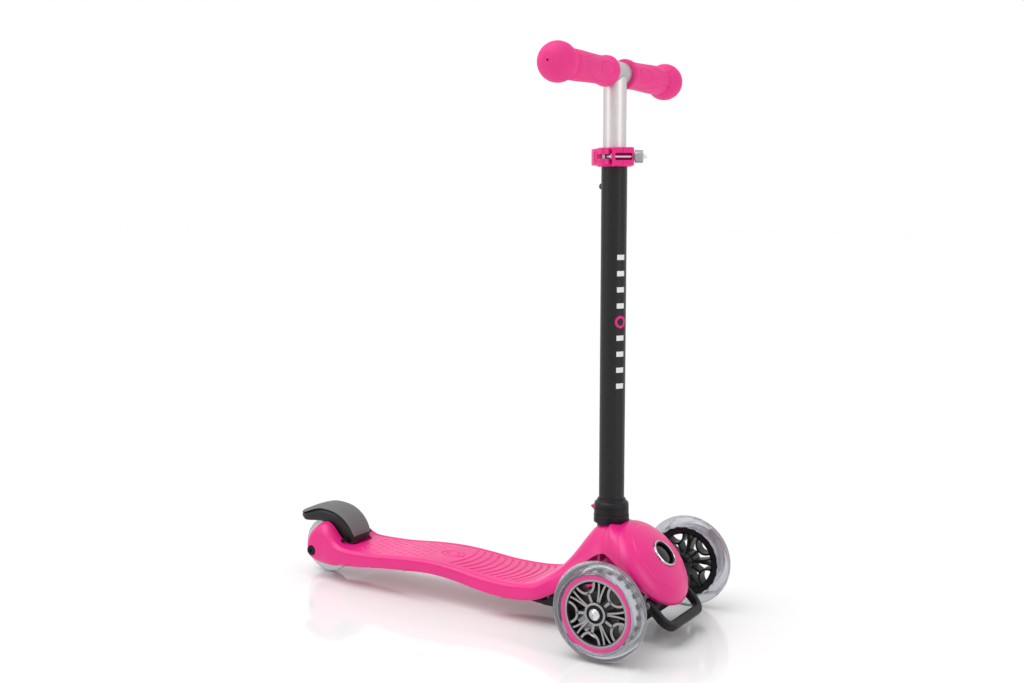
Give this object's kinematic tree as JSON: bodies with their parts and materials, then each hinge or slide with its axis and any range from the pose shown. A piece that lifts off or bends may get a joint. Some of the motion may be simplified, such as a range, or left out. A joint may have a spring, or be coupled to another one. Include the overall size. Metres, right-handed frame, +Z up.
{
  "type": "kick scooter",
  "caption": "Three-wheeled lean-to-steer kick scooter for a small child, with a height-adjustable T-bar, a foot brake, a steering lock and a fold-down loop under the nose.",
  "frame": {"origin": "on the ground, under the middle of the overall length and width", "axes": "+X forward, +Y the rider's left, +Z up along the bar"},
  "size_m": [0.614, 0.334, 0.7184],
  "materials": {
    "pink_shell": "satin moulded",
    "pink_grip": "soft matt",
    "black_shell": "fine texture",
    "black_tube": "satin",
    "core_grey": "satin",
    "clear_tyre": "clear polyurethane",
    "fender_dark": "satin",
    "fender_skin": "fine texture",
    "silver_tube": "satin anodised",
    "steel": "zinc plated",
    "chrome": "bright",
    "grey_plastic": "satin"
  },
  "bodies": {
    "deck": {"deck": "pink_shell", "under_cover": "black_shell", "cover_screws": "steel", "kingpin": "steel", "kingpin_nut": "steel", "centring_springs": "steel", "rear_axle": "steel", "rear_axle_nut": "steel", "brake_pin": "steel", "brake_spring": "steel", "lock_bezel": "chrome", "lock_spring": "steel", "bar_socket": "black_shell", "bar_collar": "black_shell", "bar_socket_ring": "black_shell", "catch_pin": "steel", "catch_spring": "steel", "loop_pins": "steel"},
    "steering_beam": {"steering_beam": "black_shell", "beam_bushes": "grey_plastic", "left_wheel_bolt": "chrome", "right_wheel_bolt": "chrome"},
    "left_wheel": {"left_tyre": "clear_tyre", "left_core": "core_grey", "left_trim_ring": "pink_shell", "left_bearings": "steel", "left_spacer": "silver_tube"},
    "right_wheel": {"right_tyre": "clear_tyre", "right_core": "core_grey", "right_trim_ring": "pink_shell", "right_bearings": "steel", "right_spacer": "silver_tube"},
    "rear_wheel": {"rear_tyre": "clear_tyre", "rear_core": "core_grey", "rear_bearings": "steel", "rear_spacer": "silver_tube"},
    "brake": {"brake_fender": "fender_dark", "fender_skin": "fender_skin", "brake_lining": "steel"},
    "lock_button": {"lock_button": "black_shell"},
    "release_catch": {"release_catch": "pink_shell"},
    "front_loop": {"front_loop": "black_shell"},
    "bar": {"lower_tube": "black_tube", "foot_plug": "black_shell", "tube_bush": "grey_plastic", "clamp_band": "pink_shell", "clamp_bolt": "chrome", "clamp_washer": "steel", "cam_pin": "steel", "snap_spring": "steel"},
    "clamp_nut": {"clamp_nut": "steel"},
    "clamp_lever": {"clamp_lever": "pink_shell"},
    "snap_button": {"snap_button": "grey_plastic"},
    "stem": {"upper_tube": "silver_tube", "cross_tube": "silver_tube", "weld_bead": "silver_tube", "left_grip": "pink_grip", "right_grip": "pink_grip"}
  },
  "joints": [
    {"name": "steer_lean", "type": "hinge", "parent": "deck", "child": "steering_beam", "pos_m": [0.24046, 0, 0.07829], "axis": [0.766, 0, 0.6428], "range_deg": [-10, 10], "stiffness_Nm_per_rad": 30, "deforming": ["centring_springs"]},
    {"name": "left_wheel_spin", "type": "hinge", "parent": "steering_beam", "child": "left_wheel", "pos_m": [0.2465, 0.128, 0.0605], "axis": [0, 1, 0], "continuous": true},
    {"name": "right_wheel_spin", "type": "hinge", "parent": "steering_beam", "child": "right_wheel", "pos_m": [0.2465, -0.128, 0.0605], "axis": [0, 1, 0], "continuous": true},
    {"name": "rear_wheel_spin", "type": "hinge", "parent": "deck", "child": "rear_wheel", "pos_m": [-0.2635, 0, 0.04], "axis": [0, 1, 0], "continuous": true},
    {"name": "brake_press", "type": "hinge", "parent": "deck", "child": "brake", "pos_m": [-0.2145, 0, 0.059], "axis": [0, -1, 0], "range_deg": [0, 4], "stiffness_Nm_per_rad": 2, "springref_deg": -5.73, "deforming": ["brake_spring"]},
    {"name": "lock_button_press", "type": "slide", "parent": "deck", "child": "lock_button", "axis": [-0.766, 0, -0.6428], "range_m": [0, 0.004], "stiffness_N_per_m": 400, "springref_m": -0.002, "deforming": ["lock_spring"]},
    {"name": "release_catch_press", "type": "hinge", "parent": "deck", "child": "release_catch", "pos_m": [0.1755, 0, 0.148], "axis": [0, -1, 0], "range_deg": [0, 12], "stiffness_Nm_per_rad": 0.02, "springref_deg": -11.46, "deforming": ["catch_spring"]},
    {"name": "front_loop_fold", "type": "hinge", "parent": "deck", "child": "front_loop", "pos_m": [0.273, 0, 0.0515], "axis": [0, 1, 0], "range_deg": [0, 45]},
    {"name": "bar_lift", "type": "slide", "parent": "deck", "child": "bar", "axis": [0, 0, 1], "range_m": [0, 0.07]},
    {"name": "stem_height", "type": "slide", "parent": "bar", "child": "stem", "axis": [0, 0, 1], "range_m": [-0.05, 0.05]},
    {"name": "clamp_lever_turn", "type": "hinge", "parent": "bar", "child": "clamp_lever", "pos_m": [0.19672, -0.02915, 0.5925], "axis": [0, 0, 1], "range_deg": [0, 120]},
    {"name": "clamp_nut_turn", "type": "hinge", "parent": "bar", "child": "clamp_nut", "pos_m": [0.22873, -0.00962, 0.5925], "axis": [0.8536, 0.521, 0], "continuous": true},
    {"name": "snap_button_press", "type": "slide", "parent": "bar", "child": "snap_button", "axis": [1, 0, 0], "range_m": [0, 0.003], "stiffness_N_per_m": 500, "springref_m": -0.002, "deforming": ["snap_spring"]}
  ]
}
